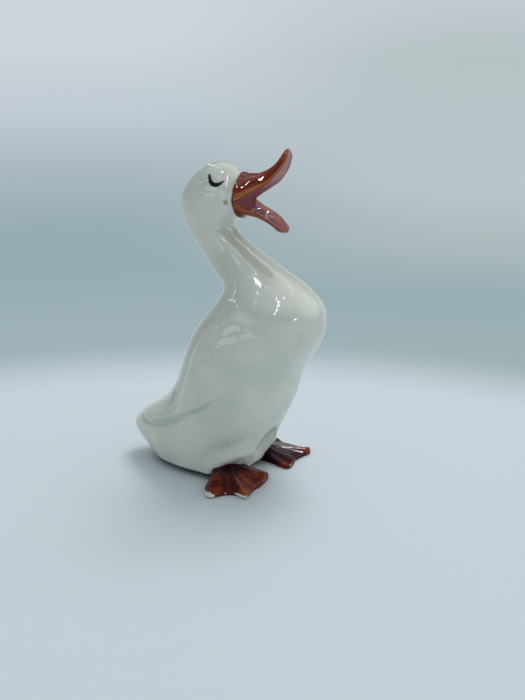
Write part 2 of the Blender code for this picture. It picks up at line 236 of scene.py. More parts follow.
# The thighs swell over the feet and end in rolled cuffs, with a soft crease above each and a gap below,
# darkened with brown paint and painted shade, where the separately pressed feet were stuck on with slip. A
# valley parts them in front.
ANKLE = np.array((30.0, 22.0, 0.0))
CUFF_RIM = ((-10.5, 8.0, 2.5), (-8.0, 7.6, 6.0), (0.5, 6.4, 13.5), (8.6, 1.5, 17.2), (14.0, -7.4, 17.0))
CUFF_GAP = ((-4.0, 5.4, 6.0), (2.0, 2.9, 10.2), (5.6, -1.0, 11.5), (7.3, -9.2, 8.0))
HIP_CREASE = ((-8.0, 11.0, 15.0), (-4.0, 11.0, 19.0), (3.5, 7.1, 23.5), (15.3, -2.7, 29.0))
VALLEY_DEPTH = 8.5
VALLEY_WIDTH = 7.0


def thigh_relief(skin):
    """The cuff over each foot, less the crease above it and the gap below."""
    from_ankle = np.concatenate([skin[..., :1], np.abs(skin[..., 1:2]), skin[..., 2:]], -1) - ANKLE
    cuff = bead(from_ankle, CUFF_RIM, height=1.4, width=3.2)
    crease = bead(from_ankle, HIP_CREASE, height=1.3, width=4.2)
    gap = bead(from_ankle, CUFF_GAP, height=2.4, width=2.6)
    return cuff - crease - gap


def valley(skin):
    """How far the front is pushed back between the thighs."""
    x, y, z = np.moveaxis(skin, -1, 0)
    rise = smooth_step(1.0, 16.0, z) * smooth_step(34.0, 16.0, z)
    return VALLEY_DEPTH * rise * smooth_step(16.0, 33.0, x) * bell(y, VALLEY_WIDTH)


# The white body under its clear glaze: the mesh, the eyes brushed on as closed arcs in navy, a grey smudge
# on the cheek and a speck by the foot, and a glaze that pools faintly green in the grooves, painted darker
# there as shade.
EYE_ARC = (
    (13.9, 12.2, 186.9), (14.8, 13.2, 185.0), (15.7, 14.0, 183.3), (17.2, 14.6, 181.9), (19.0, 14.7, 181.2),
    (20.9, 14.3, 181.4), (22.5, 13.5, 182.2), (24.3, 12.0, 183.9),
)
EYE_HALF_WIDTHS = (0.8, 1.1, 1.2, 1.3, 1.3, 1.25, 0.95, 0.3)
SMUDGE = ((25.8, -13.8, 171.3), (26.1, -13.8, 170.8))
SPECK = ((18.2, -32.3, 13.1), (18.2, -32.3, 13.7))
MOUTH_MIDDLE = 174.8
MOUTH_HALF_HEIGHT = 12.4
MOUTH_HALF_WIDTH = 11.8
MOUTH_DEPTH = 5.0
# Heights in metres between which the painted contact shade round the base, and the bare underside, come in.
BASE_CONTACT_SHADE = (0.0050, 0.0038)
UNGLAZED = (0.0006, 0.0002)


def mouth_distance(skin):
    """Negative inside the mouth's ellipse on the front of the head and -1 at its middle, zero on its
    edge, and positive elsewhere."""
    x, y, z = np.moveaxis(skin, -1, 0)
    ellipse = np.hypot(y / MOUTH_HALF_WIDTH, (z - MOUTH_MIDDLE) / MOUTH_HALF_HEIGHT)
    return np.where(x > 20.0, ellipse - 1, 1.0)


def closed_surface(name, rows, end):
    """Mesh of a grid whose rows each close on themselves, in millimetres: a flat face over its first row
    and a point at its end. Returns the mesh and its points."""
    count, around = rows.shape[:2]
    row, column = np.meshgrid(np.arange(count - 1), np.arange(around), indexing="ij")
    here = row * around + column
    beside = row * around + (column + 1) % around
    faces = np.stack([here, beside, beside + around, here + around], -1).reshape(-1, 4).tolist()
    faces.append(list(range(around))[::-1])
    last = np.arange(around) + (count - 1) * around
    faces += np.stack([last, np.roll(last, -1), np.full(around, count * around)], -1).tolist()
    points = np.vstack([rows.reshape(-1, 3), end])
    mesh = bpy.data.meshes.new(name)
    mesh.from_pydata((points * MM).tolist(), [], faces)
    mesh.shade_smooth()
    return mesh, points


def mark(mesh, name, values):
    """Keeps one number, or one vector, for each point of the mesh, for its material to read."""
    vector = np.ndim(values) == 2
    field = mesh.attributes.new(name, "FLOAT_VECTOR" if vector else "FLOAT", "POINT")
    field.data.foreach_set("vector" if vector else "value", np.ravel(values).astype(np.float32))


class Socket:
    """One output of a shader node. Arithmetic on it adds Math nodes, so a formula reads as written."""

    def __init__(self, tree, link):
        self.tree = tree
        self.link = link

    def node(self, kind, sockets, output=0, stops=(), **settings):
        """Adds any node: its settings and ramp stops first, then its sockets, by name or number."""
        made = self.tree.nodes.new(kind)
        for setting, choice in settings.items():
            setattr(made, setting, choice)
        for index, (place, colour) in enumerate(stops):
            elements = made.color_ramp.elements
            stop = elements[index] if index < len(elements) else elements.new(place)
            stop.position = place
            stop.color = (*colour, 1.0)
        for name, value in sockets.items():
            if isinstance(value, Socket):
                self.tree.links.new(value.link, made.inputs[name])
            else:
                made.inputs[name].default_value = value
        return Socket(self.tree, made.outputs[output])

    def math(self, operation, first, second):
        return self.node("ShaderNodeMath", {0: first, 1: second}, operation=operation)

    def __add__(self, other):
        return self.math("ADD", self, other)

    def __sub__(self, other):
        return self.math("SUBTRACT", self, other)

    def __mul__(self, other):
        return self.math("MULTIPLY", self, other)

    def __truediv__(self, other):
        return self.math("DIVIDE", self, other)

    __radd__ = __add__
    __rmul__ = __mul__

    def __rsub__(self, other):
        return self.math("SUBTRACT", other, self)

    def __rtruediv__(self, other):
        return self.math("DIVIDE", other, self)

    def __abs__(self):
        return self.math("ABSOLUTE", self, 0.0)

    def between(self, low, high):
        """0 where this is at low, 1 where it is at high, and a smooth step between."""
        sockets = {"Value": self, "From Min": low, "From Max": high}
        return self.node("ShaderNodeMapRange", sockets, interpolation_type="SMOOTHSTEP")

    def mix(self, colour, other):
        """The first colour where this is 0 and the other where it is 1."""
        first, second = (
            paint if isinstance(paint, Socket) else (*paint, 1.0) for paint in (colour, other)
        )
        return self.node("ShaderNodeMix", {0: self, 6: first, 7: second}, output=2, data_type="RGBA")

    def field(self, name, output="Fac"):
        """What the mesh keeps for each of its points: a number, or a vector."""
        return self.node("ShaderNodeAttribute", {}, output=output, attribute_name=name)

    def place(self):
        """Where a point is on its own object, in metres."""
        return self.node("ShaderNodeTexCoord", {}, output="Object")

    def height(self):
        """How high a point is on its own object, in metres."""
        return self.node("ShaderNodeSeparateXYZ", {0: self.place()}, output="Z")

    def noise(self, scale, detail=2.0, at=None):
        """Cloudy noise about 0.5, with this many cells to a metre."""
        sockets = {"Vector": at or self.place(), "Scale": scale, "Detail": detail}
        return self.node("ShaderNodeTexNoise", sockets)


def start_paint(name, refraction=1.5):
    """A new material, and its Principled surface as the start of its formulas."""
    material = bpy.data.materials.new(name)
    material.use_nodes = True
    tree = material.node_tree
    surface = tree.nodes["Principled BSDF"]
    surface.inputs["IOR"].default_value = refraction
    return material, Socket(tree, surface.outputs[0])


def finish(paint, colour, roughness, bumps):
    """Links the colour, the roughness and the height of the bumps in metres to the surface."""
    surface = paint.tree.nodes["Principled BSDF"]
    normal = paint.node("ShaderNodeBump", {"Height": bumps, "Distance": 1.0, "Strength": 1.0})
    for name, value in (("Base Color", colour), ("Roughness", roughness), ("Normal", normal)):
        paint.tree.links.new(value.link, surface.inputs[name])


def white_glaze():
    """White under clear glaze: greener where it pools and darker there as painted shade, with brown paint
    and painted shade under the cuffs, a near-black band of painted contact shade round the foot of the
    base, and cream and dry on the unglazed underside."""
    material, paint = start_paint("white_glaze")
    cloudy = paint.noise(34.0, 4.0).between(0.32, 0.68)
    white = cloudy.mix((0.60, 0.64, 0.585), (0.69, 0.705, 0.65))
    # Grooves: greener where the glaze pools, and darker there as painted shade.
    pooled = paint.field("pooled").mix(white, (0.40, 0.46, 0.42))
    cheek = (paint.field("smudge") + paint.noise(900.0) * 1.4 - 0.7).between(2.2, 0.2)
    smudged = (cheek * 0.75).mix(pooled, (0.12, 0.15, 0.11))
    specked = paint.field("speck").between(0.45, 0.1).mix(smudged, (0.05, 0.05, 0.06))
    brushed = (paint.field("eye") + paint.noise(1500.0) * 0.3 - 0.15).between(0.12, -0.12)
    eyed = brushed.mix(specked, (0.004, 0.006, 0.016))
    # Under the cuffs: brown paint from the feet and painted shade in the recess, darkening the white.
    cuff_paint_and_shade = (paint.field("gap") + paint.noise(500.0) * 1.6 - 0.8).between(2.4, 0.2)
    painted = (cuff_paint_and_shade * 0.85).mix(eyed, (0.12, 0.035, 0.03))
    throat = paint.field("mouth").between(0.0, -0.1).mix(painted, (0.28, 0.09, 0.12))
    # Painted contact shade: a near-black band round the foot of the base, where the floor and the overhang
    # shade the edge.
    contact_shaded = paint.height().between(*BASE_CONTACT_SHADE).mix(throat, (0.012, 0.016, 0.02))
    dry = paint.height().between(*UNGLAZED)
    colour = dry.mix(contact_shaded, paint.noise(700.0).mix((0.55, 0.50, 0.42), (0.68, 0.63, 0.55)))
    roughness = paint.noise(60.0) * 0.06 + 0.02 + dry * 0.6
    ripple = paint.noise(45.0, 1.0) * 0.0005 + paint.noise(280.0, 1.0) * 0.00009
    finish(paint, colour, roughness, ripple)
    return material


def cast(mesh, material):
    """Hands over a finished piece: it gets its material, rides on the root, and the CAD part duck_figurine
    is hidden, as the pieces stand for the whole solid.
    """
    mesh.materials.append(material)
    piece = bpy.data.objects.new(mesh.name, mesh)
    bpy.context.scene.collection.objects.link(piece)
    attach(piece, "root")
    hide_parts("duck_figurine")


skin = plain_skin()
off_base = smooth_step(0.0, RIM_HEIGHT, skin[..., 2])
wings = wing_relief(skin)
relief = (wings + thigh_relief(skin)) * off_base
rim = RIM_INSET * np.clip(1 - skin[..., 2] / RIM_HEIGHT, 0.0, 1.0) ** 2
skin = skin + outward(skin) * (relief[..., None] - rim[..., None] * (1, 1, 0))
skin[..., 0] -= valley(skin)
outside_mouth = mouth_distance(skin)
skin[..., 0] -= MOUTH_DEPTH * smooth_step(-0.1, -0.6, outside_mouth)

crown_height, crown_x = BODY_SECTIONS[-1, :2]
body_mesh, body_points = closed_surface("duck_body", skin, (crown_x, 0.0, crown_height))
either_side = body_points * (1, 0, 1) + np.abs(body_points) * (0, 1, 0)
mark(body_mesh, "mouth", np.append(outside_mouth, 1.0))
# The depth of the grooves, for the glaze's pooling and for the painted shade in them.
mark(body_mesh, "pooled", np.append(np.clip(-wings, 0.0, 1.0), 0.0))
mark(body_mesh, "eye", distance_to_path(either_side, EYE_ARC, EYE_HALF_WIDTHS))
mark(body_mesh, "smudge", distance_to_path(body_points, SMUDGE))
mark(body_mesh, "speck", distance_to_path(body_points, SPECK))
mark(body_mesh, "gap", distance_to_path(either_side - ANKLE, CUFF_GAP))
cast(body_mesh, white_glaze())


# The beak: two thin scoops of the same casting, gaping wide. They are brushed red-brown outside, with
# strokes of orange and purple along them, and mauve inside, darkening to purple down the throat. The mauve
# is set lighter inside the upper beak, as painted light, and darker inside the lower, as painted shade.
MOUTH_CORNER = np.array((33.0, 171.7))
BEAK_ROWS = 110
BEAK_AROUND = 120
# Forward and up from the corner of the mouth to the lip and to the ridge, half width, and how hollow the
# inner face is, as a share of the way from the lips to the ridge.
UPPER_BEAK = np.array([
    (-7.5, -1.5, -6.0, 12.5, 9.0, 0.0),
    (-3.6, -1.2, -3.4, 16.6, 12.3, 0.0),
    (0.4, 0.5, 0.6, 16.3, 11.9, 0.22),
    (4.5, 3.1, 2.4, 16.2, 10.6, 0.34),
    (8.7, 5.4, 5.6, 16.3, 9.9, 0.38),
    (12.9, 7.9, 9.3, 16.9, 9.4, 0.38),
    (16.8, 10.1, 13.1, 18.3, 8.4, 0.36),
    (20.6, 13.3, 16.9, 20.3, 7.1, 0.34),
    (24.2, 17.5, 20.4, 23.2, 5.8, 0.32),
    (26.7, 21.2, 23.0, 26.5, 4.7, 0.30),
    (28.4, 25.2, 25.0, 29.4, 3.5, 0.25),
    (28.8, 28.6, 26.8, 31.0, 2.1, 0.15),
    (28.3, 31.1, 28.3, 31.1, 0.0, 0.0),
])
LOWER_BEAK = np.array([
    (-7.5, 1.5, -6.0, -8.0, 9.0, 0.0),
    (-3.8, 1.2, -3.6, -11.0, 12.3, 0.0),
    (0.4, -0.8, 0.0, -10.2, 11.9, 0.22),
    (5.3, -3.7, 3.4, -9.7, 11.2, 0.30),
    (10.2, -5.7, 7.8, -10.2, 10.6, 0.32),
    (15.0, -8.0, 12.5, -11.5, 9.8, 0.32),
    (19.3, -10.5, 16.8, -13.4, 8.9, 0.30),
    (23.0, -13.5, 20.5, -15.9, 7.4, 0.26),
    (26.2, -16.1, 24.0, -18.2, 5.0, 0.18),
    (27.6, -17.9, 27.6, -17.9, 0.0, 0.0),
])
# Where the paint stops on the head: height, and X.
PAINT_EDGE = np.array([
    (158.0, 28.3), (162.3, 28.8), (167.3, 29.3), (171.0, 29.0), (175.0, 28.6), (178.5, 29.0), (182.0, 30.0),
    (185.3, 30.6), (188.2, 30.2), (190.0, 29.3),
])


def beak_grid(stations, side):
    """Rows from the root to the tip. A row runs over the outer face, a half ellipse from lip to lip, then
    back along the inner face, a parabola hollowed towards the ridge; each point is then averaged with its
    neighbours along the row a few times, which rounds the lips. side is 1 above and -1 below."""
    middle = (stations[:, 0:2] + stations[:, 2:4]) / 2
    length = np.concatenate([[0.0], np.cumsum(np.linalg.norm(np.diff(middle, axis=0), axis=1))])
    share = np.linspace(0.0, 1.0, BEAK_ROWS)[:-1]
    at = length[-1] * (1 - (1 - share) ** 1.25)
    row = spline(length, stations, at)
    lip, ridge, half, hollow = row[:, None, 0:2], row[:, None, 2:4], row[:, 4:5], row[:, 5:6]
    turn = 2 * np.pi * np.arange(BEAK_AROUND) / BEAK_AROUND
    lift = np.where(np.sin(turn) >= 0, np.sin(turn), hollow * np.sin(turn) ** 2)[..., None]
    place = MOUTH_CORNER + lip + lift * (ridge - lip)
    grid = np.stack([place[..., 0], side * half * np.cos(turn), place[..., 1]], -1)
    for _ in range(3):
        grid = (np.roll(grid, 1, 1) + 2 * grid + np.roll(grid, -1, 1)) / 4
    return grid, turn, at


def beak_paint(name, ground, lip_colour, tip_colour, lip_band, mauves_lit_and_shaded):
    """Outside, strokes along the beak over the ground colour, lighter by the lips; inside, mauve, set
    lighter on the upper beak as painted light and darker on the lower as painted shade; at the root a soft
    orange rim and a dark brushed outline, and white beyond them."""
    material, paint = start_paint(name, 1.3)
    strokes = paint.field("strokes", "Vector")
    along = paint.field("along")
    lip = paint.field("lip")
    inside = paint.field("inside").between(0.42, 0.58)
    streaks = paint.noise(5.0, 4.0, strokes)
    fine = paint.noise(14.0, 3.0, strokes)
    brushed = (streaks * 0.6 + fine * 0.4).between(0.36, 0.5).mix((0.07, 0.008, 0.008), ground)
    orange = (streaks * 0.5 + fine * 0.5).between(0.52, 0.66).mix(brushed, (0.34, 0.095, 0.02))
    edged = ((lip + fine * 0.2 - 0.1).between(lip_band, lip_band * 0.5) * 0.8).mix(orange, lip_colour)
    tipped = (along.between(0.8, 1.0) * 0.7).mix(edged, tip_colour)
    # Inside mauve: its two tones are set lighter on the upper beak as painted light and darker on the lower
    # as painted shade.
    mouth = streaks.between(0.35, 0.65).mix(*mauves_lit_and_shaded)
    throat = along.between(0.42, 0.16).mix(mouth, (0.34, 0.12, 0.15))
    both = inside.mix(tipped, throat)
    line = lip.between(0.10, 0.02) * along.between(1.0, 0.85)
    lined = (line * 0.85).mix(both, (0.05, 0.010, 0.012))
    root = paint.field("root") + fine * 0.7 - 0.35
    outlined = root.between(1.7, 1.0).mix(lined, (0.06, 0.010, 0.010))
    rimmed = root.between(0.75, 0.35).mix(outlined, (0.30, 0.09, 0.04))
    colour = root.between(0.12, -0.12).mix(rimmed, (0.66, 0.685, 0.62))
    bumps = streaks * 0.00005 + fine * 0.000015
    finish(paint, colour, fine * 0.04 + 0.01, bumps)
    return material


# Sections, side, how far the outer paint wraps round the lips, as a sine, and what beak_paint asks for.
for name, stations, side, wrap, ground, lip_colour, tip_colour, lip_band, mauves_lit_and_shaded in (
    (
        "upper_beak", UPPER_BEAK, 1, -0.05,
        (0.23, 0.022, 0.008), (0.43, 0.135, 0.022), (0.42, 0.14, 0.04), 0.34,
        # Inside mauves of the upper beak, lighter as painted light.
        ((0.36, 0.15, 0.17), (0.53, 0.27, 0.29)),
    ),
    (
        "lower_beak", LOWER_BEAK, -1, -0.5,
        (0.19, 0.022, 0.010), (0.34, 0.09, 0.020), (0.36, 0.09, 0.06), 0.6,
        # Inside mauves of the lower beak, darker as painted shade.
        ((0.20, 0.05, 0.055), (0.35, 0.12, 0.12)),
    ),
):
    grid, turn, at = beak_grid(stations, side)
    x, z = MOUTH_CORNER + stations[-1, :2]
    mesh, points = closed_surface(name, grid, (x, 0.0, z))
    share = np.broadcast_to((at / at[-1])[:, None], grid.shape[:2])
    ring = np.broadcast_to(turn, grid.shape[:2])
    strokes = np.stack([np.cos(ring), np.sin(ring), 0.7 * share], -1).reshape(-1, 3)
    mark(mesh, "strokes", np.vstack([strokes, (0.0, 0.0, 0.7)]))
    mark(mesh, "along", np.append(share, 1.0))
    mark(mesh, "inside", np.append(smooth_step(wrap + 0.1, wrap - 0.1, np.sin(ring)), 0.5))
    mark(mesh, "lip", np.append(np.abs(np.sin(ring)), 0.0))
    mark(mesh, "root", points[:, 0] - np.interp(points[:, 2], *PAINT_EDGE.T))
    cast(mesh, beak_paint(name, ground, lip_colour, tip_colour, lip_band, mauves_lit_and_shaded))


# The webbed feet: pressed from slabs and stuck under the cuffs, so each splays its own way. They are
# brushed red-brown to orange, dark between the toes, with the white clay showing where they are chipped.
RIGHT_FOOT = (
    (8.0, -8.0), (15.0, -10.0), (21.8, -12.3), (24.4, -10.0), (26.4, 3.0), (26.0, 10.3), (27.9, 22.5),
    (28.0, 24.6), (25.6, 24.6), (20.0, 22.9), (14.5, 25.2), (10.6, 31.4), (7.8, 34.0), (4.2, 32.4),
    (1.4, 28.0), (-0.5, 21.5), (-3.5, 11.5), (-8.0, 2.0), (-4.0, -6.0),
)
LEFT_FOOT = (
    (8.0, -8.0), (15.0, -10.0), (23.0, -12.8), (27.4, -12.0), (26.8, -4.0), (24.8, 3.0), (25.4, 11.0),
    (26.8, 17.6), (26.6, 20.8), (23.8, 22.2), (18.7, 23.8), (12.0, 23.4), (5.0, 23.4), (0.5, 26.0),
    (-2.8, 26.2), (-4.8, 22.5), (-5.5, 13.0), (-8.0, 2.0), (-4.0, -6.0),
)
# Inset and height of the rolled edge, from the sole up.
FOOT_EDGE = ((0.8, 0.0), (0.35, 0.12), (0.08, 0.5), (0.0, 1.1), (0.05, 1.7), (0.3, 2.3))
FOOT_EDGE_HEIGHT = 2.6
FOOT_REACH = 37.0
TOE_SPAN = 9.0
TOE_RISE = 1.5
WEB_DIP = 1.0
FOOT_RINGS = 46
FOOT_STEPS = 12
# Heights in metres between which the painted contact shade over the sole comes in.
SOLE_CONTACT_SHADE = (0.0011, 0.0006)
# Each chip is a path along the edge, and how far it reaches to both sides at each place on the path.
RIGHT_CHIPS = (
    (((52.3, -9.2, 2.6), (57.0, -24.0, 2.4)), (0.4, 0.3)),
    (((33.5, -53.5, 2.0), (37.5, -56.0, 1.6), (39.5, -54.0, 1.6)), (2.4, 2.6, 1.2)),
    (((50.0, -45.0, 1.8), (57.6, -46.2, 1.6)), (0.7, 1.3)),
    (((43.5, -47.2, 1.6), (44.5, -47.0, 1.6)), (0.7, 0.5)),
)
LEFT_CHIPS = (
    (((57.4, 11.5, 2.4), (56.4, 16.5, 2.4)), (0.5, 0.3)),
    (((56.5, 43.5, 1.0), (55.0, 44.5, 1.0)), (0.3, 0.2)),
)


def foot_grid(outline_points, toes, ankle_height, side):
    """Rings from the sole round the rolled edge and in over the top. The top is a hollow cone up to the
    ankle, h (1 - r/R)^1.4, with a bell-shaped ridge along each toe and a dip in each web. side is 1 for
    the left foot and -1 for the right."""
    outline = closed_curve(outline_points, FOOT_STEPS)
    reach = np.linalg.norm(outline, axis=1)
    angle = np.arctan2(outline[:, 1], outline[:, 0])
    share = np.linspace(0.985, 0.0, FOOT_RINGS)[:-1, None]
    on_toe = bell(np.abs(np.degrees(angle)[:, None] - np.array(toes)).min(1), TOE_SPAN)
    cone = (ankle_height - FOOT_EDGE_HEIGHT) * np.clip(1 - share * reach / FOOT_REACH, 0, 1) ** 1.4
    in_front = smooth_step(0.0, FOOT_REACH, share * reach)
    top = FOOT_EDGE_HEIGHT + cone + in_front * (TOE_RISE * on_toe - WEB_DIP * (1 - on_toe))
    inset, height = np.array(FOOT_EDGE).T[:, :, None]
    edge = outline * (1 - inset / reach)[..., None]
    flat = np.concatenate([edge, outline * share[..., None]])
    level = np.concatenate([np.broadcast_to(height, edge.shape[:2]), top])
    rings = np.stack([ANKLE[0] + flat[..., 0], side * (ANKLE[1] + flat[..., 1]), level], -1)
    radius = np.linalg.norm(flat, axis=-1) / FOOT_REACH
    directions = np.broadcast_to(np.stack([np.cos(angle), np.sin(angle)], -1), (*radius.shape, 2))
    strokes = np.concatenate([directions, radius[..., None]], -1)
    return rings[:, ::side], strokes[:, ::side]


def foot_paint(name, dark_toe, dark_width, dark_top, light_toe):
    """Strokes that fan out from the ankle, dark where the brush was full and at the ankle, light along
    the middle toe, and bare white clay at the chips."""
    material, paint = start_paint(name, 1.2)
    strokes = paint.field("strokes", "Vector")
    radius = paint.node("ShaderNodeSeparateXYZ", {0: strokes}, output="Z")
    angle = paint.field("angle")
    streaks = paint.noise(6.0, 3.0, strokes)
    fine = paint.noise(20.0, 3.0, strokes)
    tone = streaks * 0.6 + fine * 0.4
    ground = tone.between(0.40, 0.52).mix((0.030, 0.002, 0.005), (0.15, 0.012, 0.006))
    orange = tone.between(0.54, 0.66).mix(ground, (0.29, 0.065, 0.010))
    worn = (radius.between(0.76, 0.96) * 0.6).mix(orange, (0.30, 0.075, 0.014))
    reach = dark_width + (streaks - 0.5) * 14.0
    dark = (abs(angle - dark_toe) - reach).between(0.0, -10.0) * radius.between(1.0, 0.7)
    shaded = (dark * 0.9).mix(worn, (0.030, 0.002, 0.008))
    light = (abs(angle - light_toe) + fine * 4.0 - 2.0).between(3.5, 0.5) * radius.between(0.35, 0.6)
    lit = (light * 0.7).mix(shaded, (0.34, 0.10, 0.028))
    top = (radius + fine * 0.2 - 0.1).between(dark_top, dark_top - 0.22).mix(lit, (0.026, 0.003, 0.008))
    bare = (paint.field("chip") + fine * 1.2 - 0.6).between(0.12, -0.12)
    sole = paint.height().between(*UNGLAZED)
    clay = paint.noise(600.0).mix((0.60, 0.57, 0.50), (0.76, 0.74, 0.69))
    # Painted contact shade: a dark line just over the sole, where the floor shades the edge.
    contact_shaded = paint.height().between(*SOLE_CONTACT_SHADE).mix(bare.mix(top, clay), (0.02, 0.012, 0.012))
    colour = sole.mix(contact_shaded, clay)
    roughness = fine * 0.06 + 0.02 + bare * 0.25 + sole * 0.5
    bumps = streaks * 0.00014 + fine * 0.00003 - bare * 0.00015
    finish(paint, colour, roughness, bumps)
    return material


# Outline, directions of the toes, height at the ankle, side, chips, and the dark part: the direction and
# half width of its stroke, and how far out from the ankle it reaches all round.
for name, outline_points, toes, ankle_height, side, chips, dark in (
    ("right_foot", RIGHT_FOOT, (-10.0, 40.5, 80.0), 12.5, -1, RIGHT_CHIPS, (50.0, 10.0, 0.5)),
    ("left_foot", LEFT_FOOT, (-10.0, 38.0, 97.0), 9.5, 1, LEFT_CHIPS, (4.0, 28.0, 0.75)),
):
    rings, strokes = foot_grid(outline_points, toes, ankle_height, side)
    end = (ANKLE[0], side * ANKLE[1], ankle_height)
    mesh, points = closed_surface(name, rings, end)
    mark(mesh, "strokes", np.vstack([strokes.reshape(-1, 3), (1.0, 0.0, 0.0)]))
    angle = np.degrees(np.arctan2(strokes[..., 1], strokes[..., 0]))
    mark(mesh, "angle", np.append(angle, 0.0))
    mark(mesh, "chip", np.min([distance_to_path(points, path, widths) for path, widths in chips], 0))
    cast(mesh, foot_paint(name, *dark, toes[1]))


# The floor is a pale blue-grey sheet that fades out a little way from the duck, and the wall beyond it is
# the world's own colour: a dim band over the floor, paler above. Both are laid out along the view.
FLOOR_HALF = 4000.0
FLOOR_MIDDLE = 200.0
FLOOR_FADE = (365.0, 530.0)
CAMERA_TURN = np.radians(29.0)
CAMERA_TILT = np.radians(14.5)
RIGHTWARD = np.array((np.cos(CAMERA_TURN), np.sin(CAMERA_TURN), 0.0))
AWAY = np.array((-np.sin(CAMERA_TURN), np.cos(CAMERA_TURN), 0.0))

corners = FLOOR_HALF * MM * np.array([(-1, -1, 0), (1, -1, 0), (1, 1, 0), (-1, 1, 0)])
floor_mesh = bpy.data.meshes.new("floor")
floor_mesh.from_pydata(corners.tolist(), [], [(0, 1, 2, 3)])
floor = bpy.data.objects.new("floor", floor_mesh)
bpy.context.scene.collection.objects.link(floor)


def along_way(paint, place, way):
    """How far a place or a ray goes along a direction."""
    return paint.node("ShaderNodeVectorMath", {0: place, 1: tuple(way)}, "Value", operation="DOT_PRODUCT")


def floor_sheet():
    """Matt sheet that fades to clear for the camera between two circles round a place before the duck."""
    material, paint = start_paint("floor_sheet")
    surface = material.node_tree.nodes["Principled BSDF"]
    surface.inputs["Base Color"].default_value = (0.685, 0.74, 0.81, 1.0)
    surface.inputs["Roughness"].default_value = 0.55
    ends = {0: paint.place(), 1: tuple(-FLOOR_MIDDLE * MM * AWAY)}
    distance = paint.node("ShaderNodeVectorMath", ends, "Value", operation="DISTANCE")
    start, end = (size * MM for size in FLOOR_FADE)
    camera_ray = paint.node("ShaderNodeLightPath", {}, output="Is Camera Ray")
    clear = paint.node("ShaderNodeBsdfTransparent", {})
    faded = distance.between(start, end) * camera_ray
    sheet = paint.node("ShaderNodeMixShader", {0: faded, 1: paint, 2: clear})
    material.node_tree.links.new(sheet.link, material.node_tree.nodes["Material Output"].inputs["Surface"])
    return material


floor_mesh.materials.append(floor_sheet())

LEFT_WALL = (
    (0.0, (0.35, 0.45, 0.49)),
    (1.0, (0.64, 0.70, 0.74)),
    (0.13, (0.35, 0.45, 0.49)),
    (0.25, (0.31, 0.415, 0.445)),
    (0.31, (0.315, 0.42, 0.45)),
    (0.39, (0.40, 0.48, 0.525)),
    (0.47, (0.53, 0.59, 0.65)),
    (0.57, (0.61, 0.67, 0.71)),
)
RIGHT_WALL = (
    (0.0, (0.34, 0.44, 0.46)),
    (1.0, (0.64, 0.70, 0.74)),
    (0.13, (0.34, 0.44, 0.46)),
    (0.21, (0.315, 0.42, 0.45)),
    (0.29, (0.42, 0.50, 0.515)),
    (0.37, (0.49, 0.56, 0.585)),
    (0.55, (0.475, 0.54, 0.56)),
    (0.62, (0.53, 0.59, 0.62)),
)
# The window that the glaze mirrors stands behind the camera, to its left. Its edges and its bars are given
# as where they start and stop to fade, aside or up over the distance ahead.
WINDOW_TURN = np.radians(38.0)
WINDOW_WAY = -np.sin(WINDOW_TURN) * RIGHTWARD - np.cos(WINDOW_TURN) * AWAY
WINDOW_SIDE = np.cos(WINDOW_TURN) * RIGHTWARD - np.sin(WINDOW_TURN) * AWAY
WINDOW_EDGE = (0.50, 0.46)
WINDOW_FOOT = (-0.16, -0.12)
WINDOW_TOP = (0.42, 0.38)
WINDOW_BAR = (0.03, 0.06)
WINDOW_BAR_HEIGHT = 0.14
# The rest of what it mirrors is laid out by the parts of a ray's direction.
DARK_FOOT = (0.12, 0.26)
DARK_TOP = (0.80, 0.50)
DARK_SIDE = (0.75, 0.45)
CEILING_FOOT = (0.62, 0.88)
GLOW_WAY = 0.84 * RIGHTWARD + 0.10 * AWAY + (0.0, 0.0, 0.53)
GLOW_SPREAD = (0.78, 1.0)


